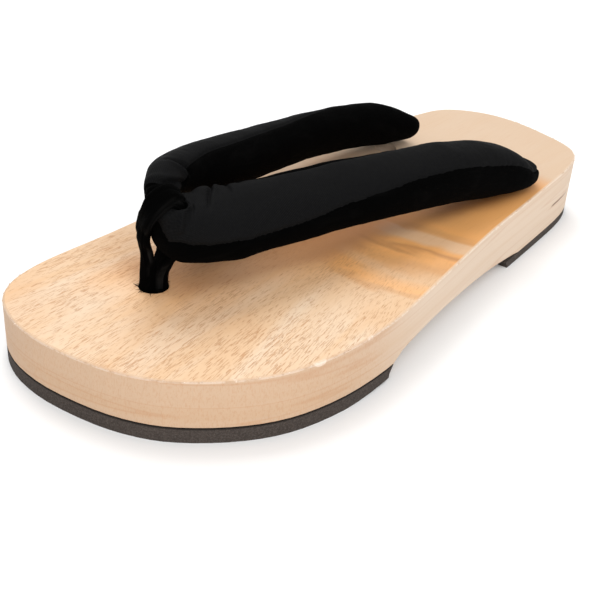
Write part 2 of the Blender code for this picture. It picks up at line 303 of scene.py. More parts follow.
@dataclass(frozen=True)
class BareWood:
    """Smoothly planed pale wood with open pores, a curly figure across the waist and sawn sides, with
    painted shade by the straps and a painted highlight on its top edge.
    """

    pale: tuple = colour(225, 200, 172)
    tan: tuple = colour(221, 186, 149)
    orange: tuple = colour(208, 152, 98)
    amber: tuple = colour(176, 118, 70)
    pore: tuple = colour(132, 84, 50)
    # Nearly white: the chips, and the highlight painted along the rounded top edge
    rim: tuple = colour(255, 244, 230)
    # The next two colours are used for painted shade by the straps. The first of them is also used for
    # streaks of the figure.
    honey: tuple = colour(242, 174, 102)
    shade_umber: tuple = colour(140, 84, 42)
    crack: tuple = colour(96, 58, 34)
    heel: tuple = colour(200, 175, 150)
    side: tuple = colour(210, 189, 168)
    side_band: tuple = colour(202, 174, 146)
    toe_side: tuple = colour(182, 144, 108)
    # How fast the fibres fan out over the forefoot, per metre, from where, and the line they fan from
    fan: float = 2.2
    fan_start: float = 60 * MM
    fan_origin: float = 42 * MM
    # The slope, in plan, of the line under the outer strap that the painted shade follows, and where it
    # starts, in millimetres
    strap_slope: float = 0.257
    strap_start: tuple = (84, -8)
    pore_depth: float = 0.10 * MM
    fibre_depth: float = 0.05 * MM
    saw_depth: float = 0.10 * MM
    # In millimetres: the figure's middle line, its bend per millimetre and how far it wanders; then
    # (place along the length, reach) and (height, reach) of the chips; (height, back, front) of the check
    figure: tuple = (25, 0.007, 22)
    chips: tuple = ((82, 3.6), (62, 2.2), (105, 1.8))
    chip_height: tuple = (21.5, 2.6)
    check: tuple = (12.3, -108, -82)

    def board(self, tree: Tree) -> Board:
        """Make the sockets that the layers share.

        Args:
            tree: The material's tree.

        Returns:
            The board's coordinates and masks.
        """
        place = tree.add("ShaderNodeTexCoord").outputs["Object"]
        axes = tree.add("ShaderNodeSeparateXYZ", {0: place}).outputs
        normal = tree.add("ShaderNodeNewGeometry").outputs["Normal"]
        facing = tree.add("ShaderNodeSeparateXYZ", {0: normal}).outputs[2]
        top = tree.band(facing, 0.86, 0.98)
        # The fibres' own coordinates, which fan out a little towards the forefoot's outer edge
        ahead = tree.math("SUBTRACT", tree.math("MAXIMUM", axes[0], 0.0), self.fan_start)
        fan = tree.times(ahead, -self.fan)
        spread = tree.times(tree.plus(axes[1], self.fan_origin), tree.math("EXPONENT", fan))
        flow = tree.add("ShaderNodeCombineXYZ", {0: axes[0], 1: spread, 2: axes[2]}).outputs[0]
        x, y, z = (tree.times(axis, 1 / MM) for axis in axes)
        side = tree.math("SUBTRACT", 1.0, top)
        # The last mask is the rounded top edge, which carries the painted highlight
        return Board(place, flow, x, y, z, top, side, tree.hump(facing, 0.62, 0.34))

    def figured(self, tree: Tree, at: Board, tone: object) -> object:
        """Lay on the curly figure, whose streaks cross the board and bend towards the heel.

        Args:
            tree: The material's tree.
            at: The board.
            tone: The colour below it.

        Returns:
            The colour with the figure.
        """
        wander = tree.noise(tree.scaled(at.place, (60.0, 22.0, 22.0)), 1.0, 3.0, 0.55)
        middle, bend, stray = self.figure
        off = tree.plus(at.y, -middle)
        along = tree.plus(tree.plus(at.x, tree.times(off, off, bend)), tree.times(wander, stray))
        # The colours of the streaks, by their places in millimetres
        streaks = (
            (-34, self.honey), (-16, self.orange), (-2, self.honey), (4, self.orange), (8, self.pale),
            (14, self.pale), (18, self.honey), (21, self.amber), (24, self.honey), (30, self.orange),
            (36, self.tan), (46, self.honey), (49, self.orange), (52, self.tan), (78, self.tan),
        )
        ends = tree.times(tree.band(at.x, -34, -12), tree.band(at.x, 66, 46), tree.band(at.y, 8, 26))
        return tree.blend(tree.times(ends, at.top, 0.5), tone, tree.ramp(along, streaks))

    def warm_tone_and_strap_shade(self, tree: Tree, at: Board, tone: object, bands: object, clouds: object) -> object:
        """Lay on painted shade from the straps: a warm stripe, partly the wood's own tone, and warm and
        brown bands beside, under and between them.

        Args:
            tree: The material's tree.
            at: The board.
            tone: The colour below them.
            bands: The growth bands.
            clouds: A soft noise that makes the edges of the painted shade wander.

        Returns:
            The colour with the painted shade.
        """
        x, y, top, band, times = at.x, at.y, at.top, tree.band, tree.times
        start, line = self.strap_start
        beside = tree.plus(y, times(tree.plus(x, -start), self.strap_slope))
        beside = tree.plus(tree.plus(beside, times(tree.plus(clouds, -0.5), 16)), -line)
        under = times(band(beside, -30, -16), band(x, -82, -60), top)
        streaky = tree.plus(0.45, times(bands, 0.8))
        # Where each band of painted shade lies, how much of it shows there, and its colour
        layers = (
            # A warm stripe by the outer strap: partly the wood's own tone, partly painted warm shade
            (times(band(x, -84, -52), band(x, 34, -12), band(y, 4, 20), streaky, top), 1.0, self.orange),
            # The rest is painted shade: warm bands beside the outer strap, and brown bands under it and
            # between the straps
            (times(band(beside, 44, 16), band(x, 62, 22), under), 0.85, self.honey),
            (times(band(y, -4, -16), band(x, 54, 20), band(x, -64, -40), top), 0.3, self.shade_umber),
            (times(band(beside, 30, 8), band(x, 108, 84), under), 0.36, self.honey),
            (times(band(beside, 15, 2), band(x, 92, 76), under), 0.62, self.amber),
            (times(band(beside, 12, 1), band(x, 60, -4), under), 0.6, self.shade_umber),
        )
        for mask, share, wood_and_shade_tone in layers:
            tone = tree.blend(times(mask, share), tone, wood_and_shade_tone)
        return tone

    def dashed(self, tree: Tree, at: Board, tone: object) -> tuple[object, object]:
        """Lay on pores and torn fibres: fine dashes, closest together at the forefoot.

        Args:
            tree: The material's tree.
            at: The board.
            tone: The colour below them.

        Returns:
            The colour with the dashes, and how hollow they are.
        """
        forefoot = tree.band(at.x, -12, 46)
        dash = tree.noise(tree.scaled(at.flow, (300.0, 3900.0, 400.0)), 1.0, 2.0, 0.5)
        crowd = tree.noise(tree.scaled(at.place, (26.0, 60.0, 60.0)), 1.0, 2.0, 0.5)
        dash = tree.plus(dash, tree.times(tree.plus(crowd, -0.5), 0.30))
        dashes = tree.times(tree.band(dash, 0.55, 0.63), forefoot, at.top)
        tone = tree.blend(tree.times(dashes, 0.56), tone, self.amber)
        cells = tree.cells(tree.scaled(at.flow, (300.0, 1500.0, 400.0)), 1.0)
        pores = tree.times(tree.band(cells, 0.16, 0.05), tree.band(crowd, 0.44, 0.6), forefoot, at.top)
        tone = tree.blend(tree.times(pores, 0.6), tone, self.pore)
        return tone, tree.plus(pores, tree.times(dashes, 0.5))

    def sawn(self, tree: Tree, at: Board, tone: object) -> tuple[object, object]:
        """Lay level bands with a few sharp lines on the sides, and saw marks ahead of the arch.

        Args:
            tree: The material's tree.
            at: The board.
            tone: The top's colour.

        Returns:
            The colour of top and sides, and the saw marks.
        """
        level = tree.noise(tree.scaled(at.place, (6.0, 6.0, 260.0)), 1.0, 4.0, 0.6, 0.4)
        line = tree.noise(tree.scaled(at.place, (5.0, 5.0, 150.0)), 1.0, 1.0, 0.5, 0.3)
        saw = tree.noise(tree.scaled(at.place, (2600.0, 2600.0, 900.0)), 1.0, 2.0, 0.6)
        marks = tree.times(saw, tree.band(at.x, 30, 60))
        side = tree.blend(tree.times(tree.band(level, 0.40, 0.68), 0.55), self.side, self.side_band)
        side = tree.blend(tree.times(tree.band(at.x, 20, 80), 0.6), side, self.toe_side)
        side = tree.blend(tree.times(tree.band(marks, 0.46, 0.70), 0.24), side, self.amber)
        side = tree.blend(tree.times(tree.hump(line, 0.5, 0.022), 0.22), side, self.amber)
        return tree.blend(at.side, tone, side), saw

    def worn(self, tree: Tree, at: Board, tone: object) -> tuple[object, object]:
        """Lay on the pale chips, a painted highlight along the rounded top edge and the level check in the
        outer side of the heel.

        Args:
            tree: The material's tree.
            at: The board.
            tone: The colour below them.

        Returns:
            The colour with the chips, the painted highlight and the check, and where the check lies.
        """
        breaks = tree.noise(at.place, 260.0, 3.0, 0.6)
        outer = tree.band(at.y, 10, 20)
        for along, reach in self.chips:
            chip = tree.times(tree.hump(at.x, along, reach), tree.hump(at.z, *self.chip_height))
            chip = tree.times(tree.band(chip, 0.25, 0.45), at.side, outer)
            tone = tree.blend(tree.times(chip, tree.band(breaks, 0.36, 0.56), 0.38), tone, self.rim)
        # A painted highlight: the rounded top edge is made nearly white, broken in places
        tone = tree.blend(tree.times(at.rim, tree.band(breaks, 0.34, 0.52), 0.9), tone, self.rim)
        height, back, front = self.check
        drop = tree.math("ABSOLUTE", tree.plus(at.z, -height))
        length = tree.times(tree.band(at.x, back, back + 18), tree.band(at.x, front, front - 3))
        check = tree.times(tree.band(drop, 0.65, 0.15), length, outer)
        return tree.blend(tree.times(check, 0.8), tone, self.crack), check

    def build(self) -> bpy.types.Material:
        """Return the wood's material."""
        material, tree, shader = new_finish("pale_wood")
        at = self.board(tree)
        # Long growth bands that wander along the length, and fine fibre lines between them
        bands = tree.noise(tree.scaled(at.flow, (8.0, 70.0, 120.0)), 1.0, 4.0, 0.55, 0.8)
        fibre = tree.noise(tree.scaled(at.flow, (70.0, 1500.0, 1500.0)), 1.0, 3.0, 0.6)
        clouds = tree.noise(at.place, 21.0, 3.0, 0.5)
        tone = tree.blend(tree.band(bands, 0.36, 0.66), self.pale, self.tan)
        tone = tree.blend(tree.times(tree.band(clouds, 0.46, 0.72), 0.26), tone, self.orange)
        tone = tree.blend(tree.times(tree.band(at.x, -20, -80), 0.85), tone, self.heel)
        tone = self.figured(tree, at, self.warm_tone_and_strap_shade(tree, at, tone, bands, clouds))
        tone, hollows = self.dashed(tree, at, tone)
        tone = tree.blend(tree.times(tree.band(fibre, 0.52, 0.78), 0.16), tone, self.amber)
        tone, saw = self.sawn(tree, at, tone)
        tone, check = self.worn(tree, at, tone)
        relief = tree.bump(tree.times(tree.plus(hollows, check), -1.0), self.pore_depth, 0.9)
        relief = tree.bump(fibre, self.fibre_depth, 0.6, relief)
        relief = tree.bump(tree.times(saw, at.side), self.saw_depth, 0.5, relief)
        rough = tree.plus(0.52, tree.times(bands, 0.14))
        look = {"Base Color": tone, "Roughness": rough, "Normal": relief, "Specular IOR Level": 0.28}
        tree.feed(shader, look)
        return material


@dataclass(frozen=True)
class FoamRubber:
    """Matt dark foam rubber sheet with open cells along its cut edge."""

    dark: tuple = colour(52, 45, 41)
    worn: tuple = colour(84, 76, 71)
    open_cell: tuple = colour(24, 20, 18)
    glue: tuple = colour(20, 15, 12)
    # The heights over the ground between which the dark glue line sets in
    glue_height: tuple = (4.2 * MM, 4.8 * MM)
    cell: float = 0.45 * MM
    cell_depth: float = 0.16 * MM
    dust_depth: float = 0.15 * MM

    def build(self) -> bpy.types.Material:
        """Return the tread rubber's material."""
        material, tree, shader = new_finish("foam_rubber")
        place = tree.add("ShaderNodeTexCoord").outputs["Object"]
        cells = tree.cells(place, 1 / self.cell)
        dust = tree.noise(place, 1900.0, 3.0, 0.7)
        broad = tree.noise(tree.scaled(place, (30.0, 30.0, 260.0)), 1.0, 3.0, 0.6)
        height = tree.add("ShaderNodeSeparateXYZ", {0: place}).outputs[2]
        tone = tree.blend(tree.band(dust, 0.35, 0.75), self.dark, self.worn)
        tone = tree.blend(tree.times(tree.band(cells, 0.32, 0.05), 0.6), tone, self.open_cell)
        tone = tree.blend(tree.times(broad, 0.25), tone, self.worn)
        tone = tree.blend(tree.times(tree.band(height, *self.glue_height), 0.85), tone, self.glue)
        relief = tree.bump(cells, self.cell_depth, 0.8)
        relief = tree.bump(dust, self.dust_depth, 0.6, relief)
        rough = tree.plus(0.78, tree.times(dust, 0.2))
        look = {"Base Color": tone, "Roughness": rough, "Normal": relief, "Specular IOR Level": 0.2}
        tree.feed(shader, look)
        return material


@dataclass(frozen=True)
class TwillSatin:
    """Near-black satin with a fine slanting twill, read off the piece's own unrolled cloth map."""

    ground: tuple = (0.0035, 0.0035, 0.0037, 1.0)
    thread: tuple = (0.0095, 0.0095, 0.0098, 1.0)
    pitch: float = 0.55 * MM
    slant: float = math.radians(58)
    rib_depth: float = 0.05 * MM
    yarn_depth: float = 0.03 * MM
    soft_depth: float = 0.9 * MM
    ripple_depth: float = 0.4 * MM

    def build(self) -> bpy.types.Material:
        """Return the satin's material."""
        material, tree, shader = new_finish("black_satin")
        cloth = tree.add("ShaderNodeUVMap", uv_map="cloth").outputs[0]
        turned = tree.scaled(cloth, (1.0, 1.0, 1.0), (0.0, 0.0, self.slant))
        # A band repeats every 0.314 of the texture's own units
        waves = {"Vector": turned, "Scale": 0.314 / self.pitch, "Distortion": 0.6, "Detail": 1.0}
        waves["Detail Scale"] = 2.0
        rib = tree.add(Field.WAVES.value, waves, wave_type="BANDS", bands_direction="X").outputs["Fac"]
        yarn = tree.noise(tree.scaled(turned, (700.0, 5200.0, 1.0)), 1.0, 2.0, 0.6)
        soft = tree.noise(cloth, 95.0, 3.0, 0.55)
        ripple = tree.noise(tree.scaled(cloth, (420.0, 40.0, 1.0)), 1.0, 2.0, 0.6)
        tone = tree.blend(tree.times(rib, tree.band(yarn, 0.25, 0.75)), self.ground, self.thread)
        relief = tree.bump(rib, self.rib_depth, 0.55)
        relief = tree.bump(yarn, self.yarn_depth, 0.5, relief)
        relief = tree.bump(soft, self.soft_depth, 0.22, relief)
        relief = tree.bump(ripple, self.ripple_depth, 0.35, relief)
        rough = tree.plus(0.58, tree.times(soft, 0.16))
        look = {"Base Color": tone, "Roughness": rough, "Normal": relief, "Specular IOR Level": 0.024}
        tree.feed(shader, {**look, "Sheen Weight": 0.0015, "Sheen Roughness": 0.35})
        return material


@dataclass(frozen=True)
class PileVelvet:
    """Short-pile velvet that swallows nearly all light, a little lighter where the pile lies over."""

    deep: tuple = (0.0006, 0.0006, 0.0006, 1.0)
    brushed: tuple = (0.0018, 0.0017, 0.0017, 1.0)
    nap: float = 0.35 * MM
    nap_depth: float = 0.2 * MM

    def build(self, name: str) -> bpy.types.Material:
        """Return the velvet's material.

        Args:
            name: The material's name.

        Returns:
            The velvet's material.
        """
        material, tree, shader = new_finish(name)
        cloth = tree.add("ShaderNodeUVMap", uv_map="cloth").outputs[0]
        pile = tree.noise(cloth, 1 / self.nap, 3.0, 0.7)
        lie = tree.noise(tree.scaled(cloth, (60.0, 150.0, 1.0)), 1.0, 3.0, 0.6, 0.8)
        tone = tree.blend(tree.band(lie, 0.5, 0.78), self.deep, self.brushed)
        relief = tree.bump(pile, self.nap_depth, 0.8)
        rough = tree.plus(0.85, tree.times(pile, 0.15))
        look = {"Base Color": tone, "Roughness": rough, "Normal": relief, "Specular IOR Level": 0.015}
        tree.feed(shader, {**look, "Sheen Weight": 0.0015, "Sheen Roughness": 0.5})
        return material


@dataclass(frozen=True)
class PaleFloor:
    """A plain matt floor, nearly white."""

    tone: tuple = (0.90, 0.90, 0.90, 1.0)
    shade: tuple = (0.86, 0.86, 0.86, 1.0)

    def build(self) -> bpy.types.Material:
        """Return the floor's material."""
        material, tree, shader = new_finish("floor_card")
        place = tree.add("ShaderNodeTexCoord").outputs["Object"]
        cloud = tree.noise(place, 6.0, 2.0, 0.5)
        tone = tree.blend(tree.times(cloud, 0.02), self.tone, self.shade)
        tree.feed(shader, {"Base Color": tone, "Roughness": 0.9, "Specular IOR Level": 0.1})
        return material


# Meshes


def linked(name: str, data: bpy.types.ID) -> bpy.types.Object:
    """Return a new object of the data, put in the scene."""
    piece = bpy.data.objects.new(name, data)
    bpy.context.scene.collection.objects.link(piece)
    return piece


def tube(points: np.ndarray, along: np.ndarray, around: np.ndarray) -> tuple[bmesh.types.BMesh, list]:
    """Make smooth faces between rings of points, with their cloth map.

    Args:
        points: Rings of points, in metres.
        along: Each ring's distance along the cloth.
        around: Each point's distance around the section, and once more that of the first point.

    Returns:
        The mesh, open at both ends, and its rings of corners.
    """
    mesh = bmesh.new()
    flat = mesh.loops.layers.uv.new("cloth")
    rings = [[mesh.verts.new(spot) for spot in ring] for ring in points]
    count = len(rings[0])
    for i, (here, there) in enumerate(zip(rings[:-1], rings[1:])):
        for j in range(count):
            k = (j + 1) % count
            face = mesh.faces.new((here[j], here[k], there[k], there[j]))
            face.smooth = True
            for loop, (a, b) in zip(face.loops, ((i, j), (i, j + 1), (i + 1, j + 1), (i + 1, j))):
                loop[flat].uv = (along[a], around[a, b])
    return mesh, rings


def finished(name: str, shape: bmesh.types.BMesh, *finishes: bpy.types.Material) -> bpy.types.Object:
    """Turn a mesh that is complete into an object.

    Args:
        name: The object's name.
        shape: The mesh, which is freed.
        finishes: Its materials, in slot order.

    Returns:
        The new object.
    """
    bmesh.ops.recalc_face_normals(shape, faces=shape.faces)
    mesh = bpy.data.meshes.new(name)
    shape.to_mesh(mesh)
    shape.free()
    for finish in finishes:
        mesh.materials.append(finish)
    return linked(name, mesh)


def run_length(points: np.ndarray) -> np.ndarray:
    """Return the distance covered on the way to each point of a line."""
    return np.concatenate([[0.0], np.cumsum(np.linalg.norm(np.diff(points, axis=0), axis=1))])


# Geometry node trees


@dataclass
class GeometryTree:
    """A Geometry Nodes tree with named inputs, applied to one object and turned into a mesh."""

    name: str
    group: bpy.types.NodeTree = field(init=False)
    tree: Tree = field(init=False)
    keys: dict = field(init=False, default_factory=dict)

    def __post_init__(self) -> None:
        """Make the empty tree with its geometry input and output."""
        self.group = bpy.data.node_groups.new(self.name, "GeometryNodeTree")
        self.group.interface.new_socket("Geometry", in_out="INPUT", socket_type="NodeSocketGeometry")
        self.group.interface.new_socket("Geometry", in_out="OUTPUT", socket_type="NodeSocketGeometry")
        self.tree = Tree(self.group)

    def named_input(self, name: str, kind: str = "NodeSocketFloat") -> None:
        """Add a named input to the tree.

        Args:
            name: The input's name.
            kind: The socket's type.
        """
        socket = self.group.interface.new_socket(name, in_out="INPUT", socket_type=kind)
        self.keys[name] = socket.identifier

    def close(self, geometry: Socket, material: Socket) -> None:
        """End the tree with real geometry and its material.

        Args:
            geometry: The last geometry socket.
            material: The socket that gives the material.
        """
        real = self.tree.add("GeometryNodeRealizeInstances", {0: geometry}).outputs[0]
        dress = {"Geometry": real, "Material": material}
        dressed = self.tree.add("GeometryNodeSetMaterial", dress).outputs[0]
        self.tree.add("NodeGroupOutput", {0: dressed})

    def apply(self, carrier: bpy.types.Object, values: dict, name: str) -> bpy.types.Object:
        """Run the tree on an object and keep its result as a plain mesh.

        Args:
            carrier: The object whose mesh the tree reads, which is removed afterwards.
            values: The named inputs' values.
            name: The new object's name.

        Returns:
            The new object.
        """
        modifier = carrier.modifiers.new(self.name, "NODES")
        modifier.node_group = self.group
        for key, value in values.items():
            modifier[self.keys[key]] = value
        bpy.context.view_layer.update()
        evaluated = carrier.evaluated_get(bpy.context.evaluated_depsgraph_get())
        mesh = bpy.data.meshes.new_from_object(evaluated)
        mesh.name = name
        carrier.modifiers.remove(modifier)
        bpy.data.objects.remove(carrier, do_unlink=True)
        return linked(name, mesh)


def polyline(name: str, line: np.ndarray) -> bpy.types.Object:
    """Make an object of bare edges along a line of points.

    Args:
        name: The object's name.
        line: The line's points, in metres.

    Returns:
        The new object.
    """
    mesh = bpy.data.meshes.new(name)
    mesh.from_pydata([tuple(point) for point in line], [(i, i + 1) for i in range(len(line) - 1)], [])
    return linked(name, mesh)


def smooth_curve(rows: Sequence[Sequence[float]], shares: np.ndarray, closed: bool = False) -> np.ndarray:
    """Read a Catmull-Rom curve through rows of numbers.

    Args:
        rows: The rows that the curve passes through.
        shares: Places from 0 to 1 along the curve.
        closed: Whether the curve returns to its first row.

    Returns:
        One row of numbers for each place.
    """
    table = np.array(rows, float)
    count = len(table)
    spans = count if closed else count - 1
    place = np.asarray(shares, float) * spans
    first = np.minimum(place.astype(int), spans - 1)
    t = (place - first)[:, None]

    def row(step: int) -> np.ndarray:
        """Return the rows a number of steps from each place's own."""
        index = first + step
        return table[index % count] if closed else table[np.clip(index, 0, count - 1)]

    b, a, c, d = row(-1), row(0), row(1), row(2)
    return 0.5 * (2 * a + (c - b) * t + (2 * b - 5 * a + 4 * c - d) * t**2 + (3 * a - b - 3 * c + d) * t**3)


@dataclass(frozen=True)
class Fibres:
    """Short loose fibres that Geometry Nodes scatter along a line.

    The density is the share of the places, one every pitch, that hold a fibre. The tilt and the
    size are the ranges that a fibre's lean from upright, in radians, and its scale are drawn from.
    """

    name: str
    length: float
    breadth: float
    density: float
    seed: int
    pitch: float = 0.5 * MM
    tilt: tuple = (1.1, 1.9)
    size: tuple = (0.35, 1.25)

    def build(self, line: np.ndarray, finish: bpy.types.Material) -> bpy.types.Object:
        """Scatter the fibres.

        Args:
            line: The line's points, in metres.
            finish: The fibres' material.

        Returns:
            The fibres as one mesh.
        """
        geo = GeometryTree(self.name)
        for name in ("Length", "Breadth", "Density"):
            geo.named_input(name)
        geo.named_input("Seed", "NodeSocketInt")
        geo.named_input("Finish", "NodeSocketMaterial")
        tree = geo.tree
        given = tree.add("NodeGroupInput").outputs
        seed = given["Seed"]
        curve = tree.add("GeometryNodeMeshToCurve", {0: given["Geometry"]}).outputs[0]
        places = tree.add("GeometryNodeCurveToPoints", {"Curve": curve, "Length": self.pitch}, mode="LENGTH")
        skip = tree.add("FunctionNodeRandomValue", {"Seed": seed}, data_type="FLOAT").outputs[1]
        over = {0: skip, 1: given["Density"]}
        drop = tree.add("FunctionNodeCompare", over, data_type="FLOAT", operation="GREATER_THAN").outputs[0]
        pick = {0: places.outputs[0], 1: drop}
        kept = tree.add("GeometryNodeDeleteGeometry", pick, domain="POINT").outputs[0]
        cone = {"Vertices": 5, "Radius Top": 0.0}
        cone |= {"Radius Bottom": given["Breadth"], "Depth": given["Length"]}
        fibre = tree.add("GeometryNodeMeshCone", cone).outputs[0]
        turns = {0: (self.tilt[0], -0.5, -3.1), 1: (self.tilt[1], 0.5, 3.1), "Seed": seed}
        turn = tree.add("FunctionNodeRandomValue", turns, data_type="FLOAT_VECTOR").outputs[0]
        sizes = {2: self.size[0], 3: self.size[1], "Seed": seed}
        size = tree.add("FunctionNodeRandomValue", sizes, data_type="FLOAT").outputs[1]
        parts = {"Points": kept, "Instance": fibre, "Rotation": turn, "Scale": size}
        spread = tree.add("GeometryNodeInstanceOnPoints", parts).outputs[0]
        geo.close(spread, given["Finish"])
        values = {"Length": self.length, "Breadth": self.breadth, "Density": self.density}
        values |= {"Seed": self.seed, "Finish": finish}
        return geo.apply(polyline(self.name, line), values, self.name)


# The wooden base


@dataclass
class Base:
    """The one-piece wooden base and its treads, which keep their CAD shape."""

    length: float = 255 * MM
    breadth: float = 104 * MM
    rim_drop: float = 0.15 * MM
    top_at_toe: float = 20.4 * MM
    top_at_heel: float = 25.6 * MM
    # The CAD's plan outline, which began as a scratch program's fit to the photo and was rounded
    outline: tuple = (
        (0.500, -0.140), (0.492, 0.030), (0.476, 0.155), (0.453, 0.250), (0.414, 0.350),
        (0.370, 0.425), (0.320, 0.471), (0.255, 0.497), (0.170, 0.496), (0.040, 0.460),
        (-0.095, 0.422), (-0.230, 0.399), (-0.355, 0.375), (-0.412, 0.350), (-0.437, 0.322),
        (-0.454, 0.284), (-0.471, 0.210), (-0.493, 0.045), (-0.500, -0.075), (-0.496, -0.170),
        (-0.483, -0.250), (-0.467, -0.305), (-0.449, -0.338), (-0.420, -0.362), (-0.330, -0.407),
        (-0.225, -0.442), (-0.100, -0.462), (0.030, -0.487), (0.140, -0.497), (0.270, -0.494),
        (0.370, -0.500), (0.421, -0.484), (0.448, -0.457), (0.467, -0.420), (0.482, -0.363),
        (0.495, -0.272),
    )

    def footbed_height(self, x: np.ndarray | float) -> np.ndarray | float:
        """Return the height of the flat, sloping footbed over the ground."""
        return self.top_at_toe + (self.top_at_heel - self.top_at_toe) * (self.length / 2 - x) / self.length

    def edge_line(self, start: float, end: float, count: int) -> np.ndarray:
        """Return points along the top edge of the base.

        Args:
            start: The first place, as a share of the way around.
            end: The last place.
            count: The number of points.

        Returns:
            The points, in metres.
        """
        plan = smooth_curve(self.outline, np.linspace(start, end, count) % 1.0, closed=True)
        x, y = plan[:, 0] * self.length, plan[:, 1] * self.breadth
        return np.stack([x, y, self.footbed_height(x) - self.rim_drop], 1)

    def dress(self) -> None:
        """Give the base and the treads their finishes and add the torn fibres."""
        wood, rubber = BareWood().build(), FoamRubber().build()
        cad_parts["sole"].material_slots[0].material = wood
        for tread in ("front_tread", "heel_tread"):
            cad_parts[tread].material_slots[0].material = rubber
        torn = Fibres("edge_fibres", 0.75 * MM, 0.14 * MM, 0.30, 7)
        fibres = torn.build(self.edge_line(0.86, 1.52, 900), wood)
        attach(fibres, BODY)


# The padded straps


@dataclass(frozen=True)
class Crease:
    """One fold of the cloth, placed after points read off the photo.

    A depth over zero presses the cloth in, one under zero raises it. Both are in millimetres. The
    line's places are (share along the straps, angle around the section in degrees).
    """

    depth: float
    breadth: float
    line: tuple


